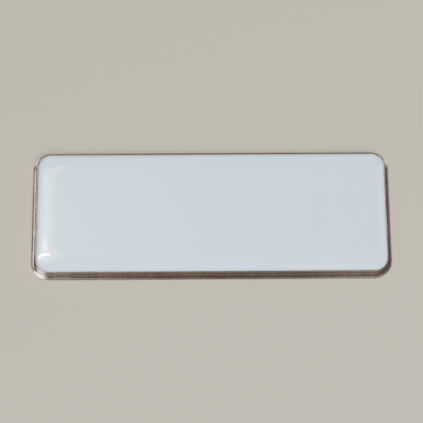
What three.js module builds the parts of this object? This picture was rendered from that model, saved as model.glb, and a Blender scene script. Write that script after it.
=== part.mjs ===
// A blank rectangular name badge, lying face up. A pressed base pan carries a glossy white panel
// with a domed face. An upright bezel ring runs round the panel's edge, and the pan's beaded lip
// stands out past it, with a fine groove between the two. A plain steel keeper bar for a magnet
// is bonded into the hollow of the pan's back, clear of the table.
// Millimetres, +Z up. The origin is the middle of the rim's underside, on the table.

import * as THREE from "three";

// Driving dimensions. The face is the domed panel, measured at the dome's foot.
const faceLength = 70;
const faceWidth = 25;
const faceCornerRadius = 2.6;

// Panel: its upright edge, the dome's rise above that, and how far in the dome has levelled off.
// The fullness is a power of the rise: the less it is, the rounder the dome stands at its foot.
const panelEdge = 0.35;
const domeHeight = 1.3;
const domeShoulder = 3.6;
const domeSteepness = 2.4;
const domeFullness = 0.8;
const domeCornerEase = 0.7;

// Bezel ring: a thin upright band with a rounded crest
const bezelWidth = 0.22;
const bezelClearance = 0.04;
const bezelProud = 0.05;
const bezelCrown = 0.15;

// Base pan: a flat rim, on which the bezel stands, a bead along its lip, and a raised floor
const lipOverhang = 0.89;
const lipBeadWidth = 0.64;
const lipBeadHeight = 0.27;
const rimThickness = 0.35;
const rimEdgeRound = 0.15;
const sheetThickness = 0.5;
const floorFold = 0.15;

// Keeper bar, and how far it stays up from the table
const keeperLength = 45;
const keeperWidth = 13;
const keeperThickness = 1.2;
const keeperCornerRadius = 1.2;
const keeperRecess = 0.2;

// Fineness of the rounded shapes
const cornerSteps = 6;
const roundSteps = 4;
const domeSteps = 12;
const domeCrowding = 1.5;

// Heights above the table, each carried by what lies under it
const recessDepth = keeperThickness + keeperRecess;
const floorTop = recessDepth + sheetThickness;
const domeFoot = floorTop + panelEdge;
const bezelCrest = domeFoot + bezelProud;

// Distances out from the face's edge
const bezelInner = bezelClearance;
const bezelOuter = bezelInner + bezelWidth;
const lipOuter = bezelOuter + lipOverhang;

/** A rounded rectangle centred on the origin, as a shape. */
function roundedRectangle(length, width, radius) {
  const x = length / 2 - radius;
  const y = width / 2 - radius;
  const quarter = Math.PI / 2;
  const shape = new THREE.Shape();
  shape.absarc(x, y, radius, 0, quarter);
  shape.absarc(-x, y, radius, quarter, 2 * quarter);
  shape.absarc(-x, -y, radius, 2 * quarter, 3 * quarter);
  shape.absarc(x, -y, radius, 3 * quarter, 4 * quarter);
  return shape;
}

/** The outline that lies `out` from the face's edge, with its corners softened by `ease`. */
function faceOutline(out, ease = 0) {
  const length = faceLength + 2 * out;
  const width = faceWidth + 2 * out;
  const radius = faceCornerRadius + Math.max(out, 0) + ease;
  return roundedRectangle(length, width, radius).getPoints(cornerSteps);
}

/** Points of an elliptical arc of a section, from angle `from` to angle `to`. */
function sectionArc({ out, z, halfWidth, halfHeight, from, to }) {
  const arc = new THREE.EllipseCurve(out, z, halfWidth, halfHeight, from, to);
  return arc.getPoints(roundSteps).map((point) => ({ out: point.x, z: point.y }));
}

/** Triangles of the wall between each row of points and the next. */
function wallTriangles(bands, rows, count) {
  const triangles = [];
  for (let row = 0; row < bands; row += 1) {
    const here = row * count;
    const next = ((row + 1) % rows) * count;
    for (let i = 0; i < count; i += 1) {
      const j = (i + 1) % count;
      triangles.push(here + i, here + j, next + j, here + i, next + j, next + i);
    }
  }
  return triangles;
}

/** Triangles of the two flat ends: the first row's faces down, the last row's faces up. */
function capTriangles(outlines, count) {
  const lastRow = (outlines.length - 1) * count;
  const first = THREE.ShapeUtils.triangulateShape(outlines[0], []);
  const last = THREE.ShapeUtils.triangulateShape(outlines.at(-1), []);
  return [
    ...first.flatMap(([a, b, c]) => [c, b, a]),
    ...last.flatMap((face) => face.map((corner) => lastRow + corner)),
  ];
}

/**
 * Carries a section round the face's outline. Each row of the section has its distance out
 * from the face's edge, its height and, where its corners are softer, their ease. The rows run
 * counter-clockwise with `out` to the right and z up. A ring joins its last row to its first,
 * and any other section is closed by a flat cap at each end.
 */
function sweepSection(section, isRing = false) {
  const outlines = section.map(({ out, ease }) => faceOutline(out, ease));
  const count = outlines[0].length;
  const rows = section.length;
  const positions = section.flatMap(({ z }, row) =>
    outlines[row].flatMap((point) => [point.x, point.y, z]),
  );
  const wall = wallTriangles(isRing ? rows : rows - 1, rows, count);
  const caps = isRing ? [] : capTriangles(outlines, count);
  const geometry = new THREE.BufferGeometry();
  geometry.setAttribute("position", new THREE.Float32BufferAttribute(positions, 3));
  geometry.setIndex([...wall, ...caps]);
  geometry.computeVertexNormals();
  return geometry;
}

/** Pressed base: flat underneath at the rim, hollow inside it, with a beaded outer lip. */
function makeBasePan() {
  const recessEdge = -sheetThickness;
  const edge = Math.min(rimEdgeRound, rimThickness);
  const fold = Math.min(floorFold, sheetThickness);
  const edgeCentre = { out: lipOuter - edge, z: edge, halfWidth: edge, halfHeight: edge };
  const beadHalfWidth = Math.min(lipBeadWidth, lipOverhang) / 2;
  const beadCentre = {
    out: lipOuter - beadHalfWidth,
    z: rimThickness,
    halfWidth: beadHalfWidth,
    halfHeight: lipBeadHeight,
  };
  const section = [
    { out: recessEdge, z: recessDepth },
    { out: recessEdge, z: 0 },
    ...sectionArc({ ...edgeCentre, from: -Math.PI / 2, to: 0 }),
    ...sectionArc({ ...beadCentre, from: 0, to: Math.PI }),
    { out: 0, z: rimThickness },
    { out: 0, z: floorTop - fold },
    { out: -fold, z: floorTop },
  ];
  return sweepSection(section);
}

/** Ring that stands on the rim, inside the lip's bead, and frames the panel. */
function makeBezelRing() {
  const crown = Math.min(bezelCrown, (bezelCrest - rimThickness) / 2);
  const crownCentre = {
    out: (bezelInner + bezelOuter) / 2,
    z: bezelCrest - crown,
    halfWidth: bezelWidth / 2,
    halfHeight: crown,
  };
  const section = [
    { out: bezelInner, z: rimThickness },
    { out: bezelOuter, z: rimThickness },
    ...sectionArc({ ...crownCentre, from: 0, to: Math.PI }),
  ];
  return sweepSection(section, true);
}

/** White panel: an upright edge, then a dome that is steep at its foot and level within. */
function makeDomedPanel() {
  const section = [{ out: 0, z: floorTop }];
  for (let step = 0; step <= domeSteps; step += 1) {
    const share = (step / domeSteps) ** domeCrowding;
    const rise = (1 - (1 - share) ** domeSteepness) ** domeFullness;
    section.push({
      out: -domeShoulder * share,
      z: domeFoot + domeHeight * rise,
      ease: domeCornerEase * share,
    });
  }
  return sweepSection(section);
}

/** Flat bar that hangs under the pan's floor. */
function makeKeeperBar() {
  const shape = roundedRectangle(keeperLength, keeperWidth, keeperCornerRadius);
  const settings = { depth: keeperThickness, bevelEnabled: false, curveSegments: cornerSteps };
  return new THREE.ExtrudeGeometry(shape, settings).translate(0, 0, keeperRecess);
}

const nickelPlate = new THREE.MeshStandardMaterial({
  color: 0x7a6a62,
  roughness: 0.22,
  metalness: 1,
});
const whiteGloss = new THREE.MeshStandardMaterial({
  color: 0xd3dbe1,
  roughness: 0.12,
  metalness: 0,
});
const bareSteel = new THREE.MeshStandardMaterial({
  color: 0x9b9ca0,
  roughness: 0.4,
  metalness: 1,
});

const pieces = [
  { name: "base_pan", geometry: makeBasePan(), material: nickelPlate },
  { name: "bezel_ring", geometry: makeBezelRing(), material: nickelPlate },
  { name: "domed_panel", geometry: makeDomedPanel(), material: whiteGloss },
  { name: "keeper_bar", geometry: makeKeeperBar(), material: bareSteel },
];

const badge = new THREE.Group();
for (const { name, geometry, material } of pieces) {
  const mesh = new THREE.Mesh(geometry, material);
  mesh.name = name;
  badge.add(mesh);
}

export default badge;
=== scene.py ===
"""A blank name badge: its plated rim, domed white face and the steel bar in its back.

Everything is in metres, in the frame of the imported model: +X along the badge, +Y away from the
camera, +Z out of the face, with the rim's underside on the table at z = 0.
"""

import logging
import math
from dataclasses import dataclass, field
from enum import Enum
from typing import Callable

import bmesh
import bpy
from mathutils import Matrix, Vector


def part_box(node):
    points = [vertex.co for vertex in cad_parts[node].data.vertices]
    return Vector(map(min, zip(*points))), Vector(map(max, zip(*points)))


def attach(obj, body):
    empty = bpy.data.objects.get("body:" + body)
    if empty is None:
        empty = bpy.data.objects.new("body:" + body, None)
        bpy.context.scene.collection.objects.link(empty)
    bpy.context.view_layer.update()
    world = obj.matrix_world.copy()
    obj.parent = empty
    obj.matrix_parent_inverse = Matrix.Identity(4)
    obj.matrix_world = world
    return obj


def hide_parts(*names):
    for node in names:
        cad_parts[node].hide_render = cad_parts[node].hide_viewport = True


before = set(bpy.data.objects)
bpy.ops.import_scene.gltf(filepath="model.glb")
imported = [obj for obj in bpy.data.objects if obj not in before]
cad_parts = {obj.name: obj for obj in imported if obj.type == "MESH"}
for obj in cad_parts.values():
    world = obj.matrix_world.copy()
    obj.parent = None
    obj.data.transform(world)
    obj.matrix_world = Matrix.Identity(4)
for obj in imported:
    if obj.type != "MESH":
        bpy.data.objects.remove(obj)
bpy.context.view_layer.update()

BODY = "root"
MM = 0.001
FACE_CORNER = 2.6 * MM
SHARP_ANGLE = 50.0

log = logging.getLogger("name_badge")


class Side(Enum):
    """How a lofted section ends."""

    CAPPED = "capped"
    RING = "ring"


@dataclass(frozen=True)
class Level:
    """One level line of a section.

    Attributes:
        out: distance out from the face's edge, negative inside it.
        z: height above the table.
        ease: how much softer its corners are than the face's.
    """

    out: float
    z: float
    ease: float = 0.0


@dataclass(frozen=True)
class Arc:
    """An elliptical stretch of a section.

    Attributes:
        out: distance of its centre out from the face's edge.
        z: height of its centre.
        half_width: its reach along `out`.
        half_height: its reach along z.
    """

    out: float
    z: float
    half_width: float
    half_height: float

    def levels(self, start: float, end: float, steps: int) -> list[Level]:
        """Follows the arc.

        Args:
            start: first angle in degrees, 0 outwards and 90 upwards.
            end: last angle in degrees.
            steps: number of steps.

        Returns:
            The levels along the arc, both ends included.
        """
        found = []
        for step in range(steps + 1):
            angle = math.radians(start + (end - start) * step / steps)
            out = self.out + self.half_width * math.cos(angle)
            found.append(Level(out, self.z + self.half_height * math.sin(angle)))
        return found


@dataclass(frozen=True)
class FaceOutline:
    """The face's rounded rectangle, which every level line of the badge follows.

    Attributes:
        length: size along X.
        width: size along Y.
        radius: corner radius.
        corner_segments: edges in each rounded corner.
        apart: height from line to line while they are joined.
    """

    length: float
    width: float
    radius: float
    corner_segments: int = 24
    apart: float = 5.0 * MM

    def draw(self, bm: bmesh.types.BMesh, level: Level, z: float) -> list[bmesh.types.BMEdge]:
        """Draws one level line.

        Args:
            bm: the mesh that it is drawn in.
            level: which line.
            z: the height that it is drawn at.

        Returns:
            The line's edges.
        """
        known = set(bm.edges)
        reach = 2 * level.out
        size = Matrix.Diagonal((self.length + reach, self.width + reach, 1.0, 1.0))
        place = Matrix.Translation((0.0, 0.0, z)) @ size
        made = bmesh.ops.create_grid(bm, x_segments=1, y_segments=1, size=0.5, matrix=place)
        bmesh.ops.bevel(
            bm,
            geom=made["verts"],
            offset=self.radius + max(level.out, 0.0) + level.ease,
            offset_type="OFFSET",
            segments=self.corner_segments,
            profile=0.5,
            affect="VERTICES",
            material=-1,
        )
        edges = [edge for edge in bm.edges if edge not in known]
        faces = {face for edge in edges for face in edge.link_faces}
        bmesh.ops.delete(bm, geom=list(faces), context="FACES_ONLY")
        return edges

    def loft(self, bm: bmesh.types.BMesh, levels: list[Level], side: Side) -> None:
        """Skins a closed body over level lines.

        The lines are joined while they stand well apart, one above the other, and only then
        take their own heights, so that lines of nearly one height meet corner to corner.

        Args:
            bm: the mesh that it is made in.
            levels: the lines in order round the section.
            side: whether the ends are capped, or meet as a ring.
        """
        loops = [self.draw(bm, level, step * self.apart) for step, level in enumerate(levels)]
        pairs = list(zip(loops, loops[1:]))
        if side is Side.RING:
            pairs.append((loops[-1], loops[0]))
        for lower, upper in pairs:
            bmesh.ops.bridge_loops(bm, edges=lower + upper)
        if side is Side.CAPPED:
            bmesh.ops.contextual_create(bm, geom=loops[0])
            bmesh.ops.contextual_create(bm, geom=loops[-1])
        for loop, level in zip(loops, levels):
            for corner in {corner for edge in loop for corner in edge.verts}:
                corner.co.z = level.z
        bmesh.ops.recalc_face_normals(bm, faces=bm.faces)


class Paint:
    """A material's node tree, with short calls for the nodes that the finishes share."""

    def __init__(self, name: str) -> None:
        """Starts an empty principled material called `name`."""
        self.material = bpy.data.materials.new(name)
        self.material.use_nodes = True
        self.tree = self.material.node_tree
        self.shader = self.tree.nodes["Principled BSDF"]
        self.place = self.add("ShaderNodeTexCoord").outputs["Object"]

    def add(self, kind: str, **values: object) -> bpy.types.Node:
        """Adds a node.

        Args:
            kind: the node's type name.
            values: its properties.

        Returns:
            The new node.
        """
        node = self.tree.nodes.new(kind)
        for key, value in values.items():
            setattr(node, key, value)
        return node

    def link(self, source: bpy.types.NodeSocket, target: bpy.types.NodeSocket) -> None:
        """Joins an output to an input."""
        self.tree.links.new(source, target)

    def axes(self, where: bpy.types.NodeSocket) -> bpy.types.NodeOutputs:
        """Splits coordinates into X, Y and Z.

        Args:
            where: the coordinates.

        Returns:
            One output for each axis.
        """
        node = self.add("ShaderNodeSeparateXYZ")
        self.link(where, node.inputs["Vector"])
        return node.outputs

    def moved(
        self,
        scale: tuple[float, float, float],
        at: tuple[float, float, float] = (0.0, 0.0, 0.0),
        turn: float = 0.0,
    ) -> bpy.types.NodeSocket:
        """Places a pattern on the piece.

        Args:
            scale: how often it repeats along each axis.
            at: the point of the piece that becomes the pattern's origin.
            turn: its turn about Z, in radians.

        Returns:
            The pattern's coordinates.
        """
        node = self.add("ShaderNodeMapping", vector_type="TEXTURE")
        node.inputs["Location"].default_value = at
        node.inputs["Rotation"].default_value = (0.0, 0.0, turn)
        node.inputs["Scale"].default_value = [1.0 / axis for axis in scale]
        self.link(self.place, node.inputs["Vector"])
        return node.outputs["Vector"]

    def noise(
        self, where: bpy.types.NodeSocket, scale: float = 1.0, detail: float = 3.0
    ) -> bpy.types.NodeSocket:
        """Adds a noise pattern.

        Args:
            where: its coordinates.
            scale: how fine it is.
            detail: how many octaves it has.

        Returns:
            The pattern, from 0 to 1.
        """
        node = self.add("ShaderNodeTexNoise")
        node.inputs["Scale"].default_value = scale
        node.inputs["Detail"].default_value = detail
        self.link(where, node.inputs["Vector"])
        return node.outputs["Fac"]

    def spread(
        self, value: bpy.types.NodeSocket, low: float, high: float, to: tuple[float, float]
    ) -> bpy.types.NodeSocket:
        """Maps a range smoothly on another.

        Args:
            value: what is mapped.
            low: where the range starts.
            high: where it ends.
            to: what the two ends become.

        Returns:
            The mapped value.
        """
        node = self.add("ShaderNodeMapRange", interpolation_type="SMOOTHSTEP")
        node.inputs["From Min"].default_value = low
        node.inputs["From Max"].default_value = high
        node.inputs["To Min"].default_value = to[0]
        node.inputs["To Max"].default_value = to[1]
        self.link(value, node.inputs["Value"])
        return node.outputs["Result"]

    def between(
        self, value: bpy.types.NodeSocket, low: float, high: float, soft: float
    ) -> bpy.types.NodeSocket:
        """Marks a range.

        Args:
            value: what is looked at.
            low: where the range starts.
            high: where it ends.
            soft: how far past its ends it fades.

        Returns:
            1 within the range, and 0 far from it.
        """
        rising = self.spread(value, low - soft, low, (0.0, 1.0))
        falling = self.spread(value, high, high + soft, (1.0, 0.0))
        return self.calc("MULTIPLY", rising, falling)

    def calc(
        self, operation: str, first: bpy.types.NodeSocket, second: bpy.types.NodeSocket | float
    ) -> bpy.types.NodeSocket:
        """Works out a value.

        Args:
            operation: the math node's operation.
            first: its first input.
            second: its second input, an output or a number.

        Returns:
            The result.
        """
        node = self.add("ShaderNodeMath", operation=operation)
        self.link(first, node.inputs[0])
        if isinstance(second, float):
            node.inputs[1].default_value = second
        else:
            self.link(second, node.inputs[1])
        return node.outputs["Value"]

    def blend(
        self,
        share: bpy.types.NodeSocket,
        first: tuple[float, float, float] | bpy.types.NodeSocket,
        second: tuple[float, float, float],
    ) -> bpy.types.NodeSocket:
        """Blends two colours.

        Args:
            share: how much of the second one shows.
            first: the colour at 0, which may be the output of another blend.
            second: the colour at 1.

        Returns:
            The blended colour.
        """
        node = self.add("ShaderNodeMix", data_type="RGBA")
        colours = [socket for socket in node.inputs if socket.type == "RGBA"]
        if isinstance(first, tuple):
            colours[0].default_value = (*first, 1.0)
        else:
            self.link(first, colours[0])
        colours[1].default_value = (*second, 1.0)
        self.link(share, node.inputs["Factor"])
        return next(socket for socket in node.outputs if socket.type == "RGBA")

    def bump(self, height: bpy.types.NodeSocket, depth: float) -> None:
        """Raises the surface.

        Args:
            height: the relief, from 0 to 1.
            depth: its depth in metres.
        """
        node = self.add("ShaderNodeBump")
        node.inputs["Strength"].default_value = 1.0
        node.inputs["Distance"].default_value = depth
        self.link(height, node.inputs["Height"])
        self.link(node.outputs["Normal"], self.shader.inputs["Normal"])

    def set(self, **values: float) -> None:
        """Sets the shader's own values, with _ for a space in a socket's name."""
        for key, value in values.items():
            self.shader.inputs[key.replace("_", " ")].default_value = value


@dataclass(frozen=True)
class NickelPlate:
    """Nickel plate, drawn upright and softly stained, with painted shade along its crest, near its
    middle and in its groove, and a painted highlight on its near lip.

    Attributes:
        name: the material's name.
        light: colour of the clean plate.
        dark: colour of its stains, and of the painted shade along its crest and near its middle.
        groove_shade: colour of the painted shade in the groove between the lip and the bezel.
        highlight_colour: colour of the painted highlight on the near lip.
        crest: height above which the painted shade along the crest is darkest, if the piece reaches
            it.
        crest_fade: how far below that the painted shade starts.
        crest_shade: how much darker the painted shade makes the plate there.
        middle: how much darker the painted shade makes the plate near the middle of its length.
        middle_span: how far from the middle that painted shade starts to fade, and where it has gone.
        groove: height of the groove's bottom.
        shade_rise: how far up from the groove's bottom the painted shade reaches.
        shade_fade: how softly that painted shade ends.
        highlight_span: the stretch along X of the painted highlight on the near lip, if it has one.
        highlight_rows: the stretch along Y of the same.
        highlight_fade: how softly it ends along X and along Y.
        roughness: least and greatest roughness.
        rough_range: the range of the pattern that the roughness spreads over.
        line_pitch: distance between drawn lines.
        line_rise: how often a line changes up the wall, for one change along it.
        line_share: how much of the pattern is drawn lines.
        line_depth: depth of the lines' relief.
        stain_pitch: distance between stains.
        stain_share: how much of the pattern is stains.
        stain_range: the range of the pattern that the stains spread over.
        stain_wear: how dark the pattern makes the plate at most.
        metallic: how far it mirrors like bare metal, less where it is dulled.
    """

    name: str
    light: tuple[float, float, float] = (0.58, 0.50, 0.46)
    dark: tuple[float, float, float] = (0.24, 0.18, 0.15)
    groove_shade: tuple[float, float, float] = (0.31, 0.245, 0.215)
    highlight_colour: tuple[float, float, float] = (0.93, 0.96, 1.0)
    crest: float = 4.0 * MM
    crest_fade: float = 0.05 * MM
    crest_shade: float = 0.8
    middle: float = 0.45
    middle_span: tuple[float, float] = (8.0 * MM, 34.0 * MM)
    groove: float = 0.35 * MM
    shade_rise: float = 0.06 * MM
    shade_fade: float = 0.04 * MM
    highlight_span: tuple[float, float] | None = (-31.3 * MM, -28.3 * MM)
    highlight_rows: tuple[float, float] = (-13.28 * MM, -13.10 * MM)
    highlight_fade: tuple[float, float] = (0.25 * MM, 0.05 * MM)
    roughness: tuple[float, float] = (0.09, 0.17)
    rough_range: tuple[float, float] = (0.3, 0.7)
    line_pitch: float = 0.5 * MM
    line_rise: float = 0.05
    line_share: float = 0.6
    line_depth: float = 0.0004 * MM
    stain_pitch: float = 14.0 * MM
    stain_share: float = 0.4
    stain_range: tuple[float, float] = (0.36, 0.64)
    stain_wear: float = 0.6
    metallic: float = 1.0

    def make(self) -> bpy.types.Material:
        """Builds the material."""
        paint = Paint(self.name)
        per_metre = 1.0 / self.line_pitch
        upright = paint.moved((per_metre, per_metre, self.line_rise * per_metre))
        lines = paint.noise(upright, detail=2.0)
        stains = paint.noise(paint.place, 1.0 / self.stain_pitch, detail=4.0)
        drawn = paint.calc("MULTIPLY", lines, self.line_share)
        mixed = paint.calc("ADD", drawn, paint.calc("MULTIPLY", stains, self.stain_share))
        stained = paint.spread(mixed, *self.stain_range, (0.0, self.stain_wear))
        # The stains are the plate's own; the painted shade along the crest and near the middle is
        # added to them.
        share = paint.calc("ADD", stained, self.painted_shade(paint))
        plate = self.marked(paint, paint.blend(share, self.light, self.dark))
        paint.link(plate, paint.shader.inputs["Base Color"])
        rough = paint.spread(mixed, *self.rough_range, self.roughness)
        paint.link(rough, paint.shader.inputs["Roughness"])
        paint.bump(lines, self.line_depth)
        paint.set(Metallic=self.metallic)
        return paint.material

    def painted_shade(self, paint: Paint) -> bpy.types.NodeSocket:
        """Draws the painted shade: darker along its crest and near its middle.

        Args:
            paint: the material in the making.

        Returns:
            How much darker the painted shade makes the plate there.
        """
        axes = paint.axes(paint.place)
        # Painted shade along the crest: darker towards the top of the piece.
        crest_foot = self.crest - self.crest_fade
        crest = paint.spread(axes["Z"], crest_foot, self.crest, (0.0, self.crest_shade))
        # Painted shade: the plate is darker near the middle of its length.
        from_middle = paint.calc("ABSOLUTE", axes["X"], 0.0)
        middle_shade = paint.spread(from_middle, *self.middle_span, (self.middle, 0.0))
        return paint.calc("ADD", crest, middle_shade)

    def marked(self, paint: Paint, plate: bpy.types.NodeSocket) -> bpy.types.NodeSocket:
        """Lays the painted shade in the groove and the painted highlight on the lip over the plate.

        Args:
            paint: the material in the making.
            plate: the plate's colour without them.

        Returns:
            The plate's colour with them.
        """
        axes = paint.axes(paint.place)
        # Painted shade in the groove between the lip and the bezel.
        shade_top = self.groove + self.shade_rise
        groove = paint.between(axes["Z"], self.groove, shade_top, self.shade_fade)
        plate = paint.blend(groove, plate, self.groove_shade)
        # Painted highlight: a bright stretch along the near lip.
        if self.highlight_span is None:
            return plate
        fade_along, fade_across = self.highlight_fade
        along = paint.between(axes["X"], *self.highlight_span, fade_along)
        across = paint.between(axes["Y"], *self.highlight_rows, fade_across)
        return paint.blend(paint.calc("MULTIPLY", along, across), plate, self.highlight_colour)


@dataclass(frozen=True)
class Scratch:
    """A straight hairline scratch.

    Attributes:
        x: where it starts along X.
        y: where it starts along Y.
        turn: its direction, in degrees from +Y.
        length: its length.
        width: its width.
        full: how far from its middle it keeps its depth, as a share of its length.
    """

    x: float
    y: float
    turn: float
    length: float
    width: float
    full: float = 0.3


@dataclass(frozen=True)
class GlossWhite:
    """Cool white gloss, faintly smudged, with a few hairline scratches.

    Attributes:
        name: the material's name.
        light: its main colour.
        shade: colour of its faint clouding.
        scratched: colour in a scratch.
        roughness: least and greatest roughness under the gloss.
        gloss: roughness of the gloss itself.
        clouds: how often its clouding repeats in a metre, along each axis.
        cloud_range: the range of the clouding that the shade spreads over.
        smudges: how often its smudges repeat in a metre.
        smudge_range: the range of the smudges that the roughness spreads over.
        waves: how often its faint waves repeat in a metre.
        wave_depth: depth of the waves.
        score: depth of a scratch, as a share of the waves'.
        scratches: its hairlines.
    """

    name: str
    light: tuple[float, float, float] = (0.59, 0.76, 0.90)
    shade: tuple[float, float, float] = (0.575, 0.745, 0.885)
    scratched: tuple[float, float, float] = (0.90, 0.96, 1.0)
    roughness: tuple[float, float] = (0.38, 0.46)
    gloss: float = 0.052
    clouds: tuple[float, float, float] = (45.0, 70.0, 70.0)
    cloud_range: tuple[float, float] = (0.35, 0.65)
    smudges: float = 260.0
    smudge_range: tuple[float, float] = (0.35, 0.7)
    waves: float = 60.0
    wave_depth: float = 0.006 * MM
    score: float = 0.3
    scratches: tuple[Scratch, ...] = ()

    def make(self) -> bpy.types.Material:
        """Builds the material."""
        paint = Paint(self.name)
        clouds = paint.noise(paint.moved(self.clouds), detail=4.0)
        share = paint.spread(clouds, *self.cloud_range, (0.0, 1.0))
        marks = self.marks(paint)
        ground = paint.blend(share, self.light, self.shade)
        scored = paint.blend(marks, ground, self.scratched)
        paint.link(scored, paint.shader.inputs["Base Color"])
        smudges = paint.noise(paint.place, self.smudges, detail=5.0)
        rough = paint.spread(smudges, *self.smudge_range, self.roughness)
        paint.link(rough, paint.shader.inputs["Roughness"])
        waves = paint.noise(paint.place, self.waves, detail=0.0)
        scores = paint.calc("MULTIPLY", marks, self.score)
        paint.bump(paint.calc("SUBTRACT", waves, scores), self.wave_depth)
        paint.set(Coat_Weight=1.0, Coat_Roughness=self.gloss)
        return paint.material

    def marks(self, paint: Paint) -> bpy.types.NodeSocket:
        """Draws the scratches.

        Args:
            paint: the material in the making.

        Returns:
            1 on a scratch and 0 off it.
        """
        total = None
        for scratch in self.scratches:
            at = (scratch.x, scratch.y, 0.0)
            axes = paint.axes(paint.moved((1.0, 1.0, 1.0), at, math.radians(scratch.turn)))
            across = paint.calc("ABSOLUTE", axes["X"], 0.0)
            line = paint.spread(across, 0.0, scratch.width, (1.0, 0.0))
            half = scratch.length / 2
            reach = paint.calc("ABSOLUTE", paint.calc("SUBTRACT", axes["Y"], half), 0.0)
            ends = paint.spread(reach, scratch.full * scratch.length, half, (1.0, 0.0))
            mark = paint.calc("MULTIPLY", line, ends)
            total = mark if total is None else paint.calc("MAXIMUM", total, mark)
        return total


@dataclass(frozen=True)
class BrushedSteel:
    """Flat steel brushed along the bar.

    Attributes:
        name: the material's name.
        light: its main colour.
        dark: colour between the brush lines.
        lines: how often the brush lines repeat in a metre, along each axis.
        line_range: the range of the lines that the colour spreads over.
        roughness: least and greatest roughness.
        rough_range: the range of the lines that the roughness spreads over.
        line_depth: depth of the lines' relief.
    """

    name: str
    light: tuple[float, float, float] = (0.64, 0.64, 0.65)
    dark: tuple[float, float, float] = (0.46, 0.46, 0.48)
    lines: tuple[float, float, float] = (60.0, 9000.0, 9000.0)
    line_range: tuple[float, float] = (0.35, 0.65)
    roughness: tuple[float, float] = (0.28, 0.45)
    rough_range: tuple[float, float] = (0.3, 0.7)
    line_depth: float = 0.004 * MM

    def make(self) -> bpy.types.Material:
        """Builds the material."""
        paint = Paint(self.name)
        lines = paint.noise(paint.moved(self.lines), detail=4.0)
        share = paint.spread(lines, *self.line_range, (0.0, 1.0))
        paint.link(paint.blend(share, self.light, self.dark), paint.shader.inputs["Base Color"])
        rough = paint.spread(lines, *self.rough_range, self.roughness)
        paint.link(rough, paint.shader.inputs["Roughness"])
        paint.bump(lines, self.line_depth)
        paint.set(Metallic=1.0)
        return paint.material


@dataclass(frozen=True)
class TableTop:
    """Plain pale warm table top.

    Attributes:
        name: the material's name.
        colour: its colour.
        roughness: its roughness.
        shine: how much it shines.
    """

    name: str
    colour: tuple[float, float, float] = (0.50, 0.41, 0.29)
    roughness: float = 0.75
    shine: float = 0.2

    def make(self) -> bpy.types.Material:
        """Builds the material."""
        paint = Paint(self.name)
        paint.shader.inputs["Base Color"].default_value = (*self.colour, 1.0)
        paint.set(Roughness=self.roughness, Specular_IOR_Level=self.shine)
        return paint.material


def as_piece(
    name: str, build: Callable[[bmesh.types.BMesh], None], material: bpy.types.Material
) -> bpy.types.Object:
    """Makes a piece of the badge.

    Args:
        name: the piece's name.
        build: what makes its shape in an empty mesh.
        material: its finish.

    Returns:
        The finished object, smooth but for its sharp edges.
    """
    bm = bmesh.new()
    build(bm)
    mesh = bpy.data.meshes.new(name)
    bm.to_mesh(mesh)
    bm.free()
    mesh.shade_smooth()
    mesh.set_sharp_from_angle(angle=math.radians(SHARP_ANGLE))
    mesh.materials.append(material)
    piece = bpy.data.objects.new(name, mesh)
    bpy.context.scene.collection.objects.link(piece)
    log.info("%s: %d faces", name, len(mesh.polygons))
    return piece


def dress(piece: bpy.types.Object, node: str) -> None:
    """Lets a piece ride on the badge in place of a CAD node.

    Args:
        piece: the piece.
        node: the node that it stands for.
    """
    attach(piece, BODY)
    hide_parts(node)


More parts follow.
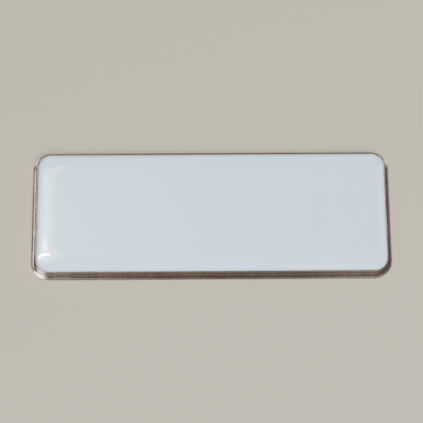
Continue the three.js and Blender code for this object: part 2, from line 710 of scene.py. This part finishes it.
@dataclass
class Rim:
    """The plated rim: the pan with its beaded lip, and the bezel ring that stands on it.

    Attributes:
        outline: the face's outline.
        rim_thickness: height of the flat rim, on which the bezel stands.
        bead_width: width of the bead along the lip.
        bead_height: rise of the bead above the flat rim.
        edge_round: rounding under the lip.
        mouth_round: rounding of the recess's mouth.
        sheet: thickness of the pan's wall.
        fold: rounding round the pan's floor.
        bezel_width: width of the bezel.
        bezel_crown: height of its rounded top.
        fold_steps: steps round the folds of the pan's sheet.
        edge_steps: steps round the lip's lower edge.
        crown_steps: steps over the bead, and over the bezel's top.
        pan_box: the box of the pan's node.
        bezel_box: the box of the bezel's node.
        bar_box: the box of the bar's node, which the pan's hollow holds.
    """

    outline: FaceOutline
    rim_thickness: float = 0.35 * MM
    bead_width: float = 0.64 * MM
    bead_height: float = 0.27 * MM
    edge_round: float = 0.15 * MM
    mouth_round: float = 0.1 * MM
    sheet: float = 0.5 * MM
    fold: float = 0.15 * MM
    bezel_width: float = 0.22 * MM
    bezel_crown: float = 0.15 * MM
    fold_steps: int = 6
    edge_steps: int = 8
    crown_steps: int = 16
    pan_box: tuple[Vector, Vector] = field(default_factory=lambda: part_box("base_pan"))
    bezel_box: tuple[Vector, Vector] = field(default_factory=lambda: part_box("bezel_ring"))
    bar_box: tuple[Vector, Vector] = field(default_factory=lambda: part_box("keeper_bar"))

    def pan(self, bm: bmesh.types.BMesh) -> None:
        """Shapes the pan."""
        lip = self.pan_box[1].x - self.outline.length / 2
        edge, fold, mouth_round = self.edge_round, self.fold, self.mouth_round
        under = Arc(lip - edge, edge, edge, edge)
        half = self.bead_width / 2
        bead = Arc(lip - half, self.rim_thickness, half, self.bead_height)
        shoulder = Arc(-fold, self.pan_box[1].z - fold, fold, fold)
        mouth = Arc(mouth_round - self.sheet, mouth_round, mouth_round, mouth_round)
        levels = [Level(-self.sheet, self.bar_box[1].z)]
        levels += mouth.levels(180, 270, self.fold_steps)
        levels += under.levels(-90, 0, self.edge_steps)
        levels += bead.levels(0, 180, self.crown_steps)
        levels.append(Level(0.0, self.rim_thickness))
        levels += shoulder.levels(0, 90, self.fold_steps)
        self.outline.loft(bm, levels, Side.CAPPED)

    def bezel(self, bm: bmesh.types.BMesh) -> None:
        """Shapes the bezel ring."""
        outer = self.bezel_box[1].x - self.outline.length / 2
        inner = outer - self.bezel_width
        crown_foot = self.bezel_box[1].z - self.bezel_crown
        top = Arc((inner + outer) / 2, crown_foot, self.bezel_width / 2, self.bezel_crown)
        levels = [Level(inner, self.rim_thickness), Level(outer, self.rim_thickness)]
        levels += top.levels(0, 180, self.crown_steps)
        self.outline.loft(bm, levels, Side.RING)

    def build(
        self, plate: bpy.types.Material, band: bpy.types.Material
    ) -> list[bpy.types.Object]:
        """Makes and dresses both pieces.

        Args:
            plate: finish of the pan.
            band: finish of the bezel.

        Returns:
            The pan and the bezel.
        """
        pan = as_piece("plated_pan", self.pan, plate)
        dress(pan, "base_pan")
        bezel = as_piece("plated_bezel", self.bezel, band)
        dress(bezel, "bezel_ring")
        return [pan, bezel]


@dataclass
class Face:
    """The glossy white panel, with its upright edge and its dome.

    Attributes:
        outline: the face's outline.
        edge: height of the panel's upright edge.
        shoulder: how far in from its foot the dome has levelled off.
        steepness: how fast it rises at its foot.
        fullness: power of its rise; the less it is, the rounder the dome stands at its foot.
        corner_ease: how much softer its level lines' corners get.
        steps: number of steps between level lines on the dome.
        crowding: power that crowds the lines towards the foot.
    """

    outline: FaceOutline
    edge: float = 0.35 * MM
    shoulder: float = 3.6 * MM
    steepness: float = 2.4
    fullness: float = 0.65
    corner_ease: float = 0.7 * MM
    steps: int = 40
    crowding: float = 1.5

    def shape(self, bm: bmesh.types.BMesh) -> None:
        """Shapes the panel."""
        low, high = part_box("domed_panel")
        foot = low.z + self.edge
        levels = [Level(0.0, low.z)]
        for step in range(self.steps + 1):
            share = (step / self.steps) ** self.crowding
            rise = (1.0 - (1.0 - share) ** self.steepness) ** self.fullness
            z = foot + (high.z - foot) * rise
            levels.append(Level(-self.shoulder * share, z, self.corner_ease * share))
        self.outline.loft(bm, levels, Side.CAPPED)

    def build(self, gloss: bpy.types.Material) -> bpy.types.Object:
        """Makes the panel, dresses it in `gloss` and returns it."""
        panel = as_piece("white_panel", self.shape, gloss)
        dress(panel, "domed_panel")
        return panel


@dataclass
class KeeperBar:
    """The flat steel bar in the hollow of the back.

    Attributes:
        corner_radius: radius of its corners.
        edge: softened width of its lower edges.
        corner_segments: edges in each rounded corner.
        edge_steps: steps round its softened edges.
    """

    corner_radius: float = 1.2 * MM
    edge: float = 0.12 * MM
    corner_segments: int = 12
    edge_steps: int = 4

    def shape(self, bm: bmesh.types.BMesh) -> None:
        """Shapes the bar."""
        low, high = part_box("keeper_bar")
        size = high - low
        outline = FaceOutline(size.x, size.y, self.corner_radius, self.corner_segments)
        bottom = Arc(-self.edge, low.z + self.edge, self.edge, self.edge)
        levels = bottom.levels(-90, 0, self.edge_steps) + [Level(0.0, high.z)]
        outline.loft(bm, levels, Side.CAPPED)

    def build(self, steel: bpy.types.Material) -> None:
        """Makes and dresses the bar in `steel`."""
        dress(as_piece("steel_keeper", self.shape, steel), "keeper_bar")


class Glow(Enum):
    """What a lamp does: it shades everything, or shows as a shine on some pieces only."""

    SHADE = "shade"
    FACE_SHINE = "face_shine"
    RIM_SHINE = "rim_shine"
    CREST_SHINE = "crest_shine"


@dataclass(frozen=True)
class SoftBox:
    """A soft rectangular lamp that faces the badge.

    Attributes:
        name: its name.
        towards: direction from the badge to the lamp.
        distance: how far off it is.
        size: its size along the badge's width, and its size across that.
        power: its power in watts.
        glow: what it does.
        turn: its turn about the line to the badge, in degrees.
        colour: its colour.
    """

    name: str
    towards: tuple[float, float, float]
    distance: float
    size: tuple[float, float]
    power: float
    glow: Glow
    turn: float = 0.0
    colour: tuple[float, float, float] = (0.86, 0.94, 1.0)

    def build(self, kept_to: bpy.types.Collection | None) -> None:
        """Hangs the lamp.

        Args:
            kept_to: the pieces that it reaches, or None for all.
        """
        lamp = bpy.data.lights.new(self.name, "AREA")
        lamp.shape = "RECTANGLE"
        lamp.size, lamp.size_y = self.size
        lamp.energy = self.power
        lamp.color = self.colour
        back = Vector(self.towards).normalized()
        along = (Vector((0.0, 1.0, 0.0)) - back * back.y).normalized()
        facing = Matrix((along, back.cross(along), back)).transposed().to_4x4()
        facing = facing @ Matrix.Rotation(math.radians(self.turn), 4, "Z")
        holder = bpy.data.objects.new(self.name, lamp)
        holder.matrix_world = Matrix.Translation(back * self.distance) @ facing
        holder.visible_diffuse = self.glow is Glow.SHADE
        holder.visible_glossy = self.glow is not Glow.SHADE
        holder.light_linking.receiver_collection = kept_to
        bpy.context.scene.collection.objects.link(holder)


@dataclass
class Studio:
    """The table, the lamps, the room's light and the camera.

    Attributes:
        elevation: the camera's height angle, in degrees.
        pan: its turn round the badge, in degrees.
        roll: its own turn, in degrees.
        distance: how far it is from the point that it looks at.
        aim: the point that it looks at.
        scale: pixels per millimetre at the point that it looks at.
        frame_pixels: width of the picture in pixels.
        sensor: width of the camera's sensor, in millimetres.
        nearest: the least distance that the camera shows.
        table_reach: from the middle of the table top to its sides.
        room: colour of the room's light.
        room_strength: strength of the room's light.
        lamps: the lamps, each named for what it lights.
    """

    elevation: float = 68.911
    pan: float = 1.081
    roll: float = 0.684
    distance: float = 394 * MM
    aim: tuple[float, float, float] = (0.04 * MM, 0.99 * MM, 0.0)
    scale: float = 4.9425
    frame_pixels: float = 423.0
    sensor: float = 36.0
    nearest: float = 10.0 * MM
    table_reach: float = 2.0
    room: tuple[float, float, float] = (0.88, 0.94, 1.0)
    room_strength: float = 0.36
    lamps: tuple[SoftBox, ...] = (
        SoftBox("key", (0.16, -0.42, 0.89), 0.8, (0.6, 0.6), 14.6, Glow.SHADE),
        SoftBox("left_band", (-0.55, 0.252, 0.79), 0.285, (0.028, 0.125), 0.6, Glow.FACE_SHINE),
        SoftBox("left_sheet", (-0.331, 0.352, 0.876), 0.511, (0.18, 0.20), 0.9, Glow.FACE_SHINE),
        SoftBox("left_arc", (-0.647, 0.158, 0.744), 0.472, (0.009, 0.40), 17.0, Glow.FACE_SHINE, 2.5),
        SoftBox("right_band", (0.80, 0.36, 0.44), 0.5, (0.16, 0.36), 0.9, Glow.FACE_SHINE),
        SoftBox("near_band", (0.0, -0.77, 0.64), 0.6, (0.45, 0.6), 2.4, Glow.FACE_SHINE),
        SoftBox("far_band", (0.0, 0.88, 0.47), 0.6, (0.36, 0.6), 3.4, Glow.FACE_SHINE),
        SoftBox("near_left", (-0.68, -0.42, 0.58), 0.5, (0.26, 0.30), 7.0, Glow.RIM_SHINE),
        SoftBox("near_right", (0.68, -0.42, 0.58), 0.5, (0.26, 0.30), 0.2, Glow.RIM_SHINE),
        SoftBox("near_sky", (0.0, -0.40, 0.92), 0.5, (0.22, 0.50), 0.16, Glow.RIM_SHINE),
        SoftBox("left_sky", (-0.20, -0.39, 0.90), 0.5, (0.22, 0.10), 0.024, Glow.RIM_SHINE),
        SoftBox("right_sky", (0.20, -0.39, 0.90), 0.5, (0.22, 0.10), 0.03, Glow.RIM_SHINE),
        SoftBox("far_left", (-0.55, 0.62, 0.56), 0.5, (0.10, 0.10), 0.6, Glow.RIM_SHINE),
        SoftBox("far_right", (0.60, 0.60, 0.53), 0.5, (0.10, 0.10), 0.6, Glow.RIM_SHINE),
        SoftBox("right_lip", (0.80, 0.36, 0.46), 0.5, (0.30, 0.10), 0.07, Glow.RIM_SHINE),
        SoftBox("left_glint", (-0.50, 0.348, 0.79), 0.5, (0.04, 0.50), 1.5, Glow.CREST_SHINE),
        SoftBox("left_corner", (-0.34, -0.02, 0.94), 0.5, (0.18, 0.09), 0.75, Glow.RIM_SHINE),
    )

    def table(self) -> None:
        """Lays the table top."""
        bm = bmesh.new()
        bmesh.ops.create_grid(bm, x_segments=1, y_segments=1, size=self.table_reach)
        mesh = bpy.data.meshes.new("table_top")
        bm.to_mesh(mesh)
        bm.free()
        mesh.materials.append(TableTop("table_top_finish").make())
        top = bpy.data.objects.new("table_top", mesh)
        bpy.context.scene.collection.objects.link(top)

    def world(self) -> None:
        """Fills the room with even light."""
        world = bpy.data.worlds.new("room")
        world.use_nodes = True
        light = world.node_tree.nodes["Background"]
        light.inputs["Color"].default_value = (*self.room, 1.0)
        light.inputs["Strength"].default_value = self.room_strength
        bpy.context.scene.world = world

    def camera(self) -> None:
        """Sets the camera at the photograph's angle."""
        tilt, pan = math.radians(self.elevation), math.radians(self.pan)
        ahead = Vector(
            (math.sin(pan) * math.cos(tilt), math.cos(pan) * math.cos(tilt), -math.sin(tilt))
        )
        lens = bpy.data.cameras.new("photo_camera")
        lens.sensor_width = self.sensor
        lens.lens = self.scale * (self.distance / MM) * self.sensor / self.frame_pixels
        lens.clip_start = self.nearest
        camera = bpy.data.objects.new("photo_camera", lens)
        look = ahead.to_track_quat("-Z", "Y").to_matrix().to_4x4()
        spin = Matrix.Rotation(math.radians(self.roll), 4, "Z")
        place = Vector(self.aim) - ahead * self.distance
        camera.matrix_world = Matrix.Translation(place) @ look @ spin
        bpy.context.scene.collection.objects.link(camera)
        bpy.context.scene.camera = camera

    def build(self, pieces: dict[Glow, list[bpy.types.Object]]) -> None:
        """Sets up the whole studio.

        Args:
            pieces: the pieces that each kind of shine is kept to.
        """
        self.table()
        self.world()
        self.camera()
        reached = {}
        for glow, members in pieces.items():
            reached[glow] = bpy.data.collections.new(glow.value)
            for member in members:
                reached[glow].objects.link(member)
        for lamp in self.lamps:
            lamp.build(reached.get(lamp.glow))


def main() -> None:
    """Builds the badge and the studio round it."""
    logging.basicConfig(level=logging.INFO, format="%(name)s: %(message)s")
    low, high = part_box("domed_panel")
    outline = FaceOutline(high.x - low.x, high.y - low.y, FACE_CORNER)
    band = NickelPlate(
        "bezel_plate",
        light=(0.62, 0.50, 0.42),
        dark=(0.24, 0.175, 0.145),
        # Painted shade along the bezel's top and a little near its middle; no painted highlight.
        crest=2.2 * MM,
        middle=0.1,
        highlight_span=None,
        roughness=(0.14, 0.22),
        metallic=0.88,
    )
    rim = Rim(outline).build(NickelPlate("pan_plate").make(), band.make())
    hairlines = (
        Scratch(x=-23.95 * MM, y=-6.4 * MM, turn=195.0, length=2.6 * MM, width=0.16 * MM),
        Scratch(x=-23.2 * MM, y=-6.3 * MM, turn=186.0, length=0.9 * MM, width=0.12 * MM),
    )
    face = Face(outline).build(GlossWhite("face_gloss", scratches=hairlines).make())
    KeeperBar().build(BrushedSteel("keeper_steel").make())
    shiny = {Glow.FACE_SHINE: [face], Glow.RIM_SHINE: rim, Glow.CREST_SHINE: rim[1:]}
    Studio().build(shiny)


if __name__ == "__main__":
    main()
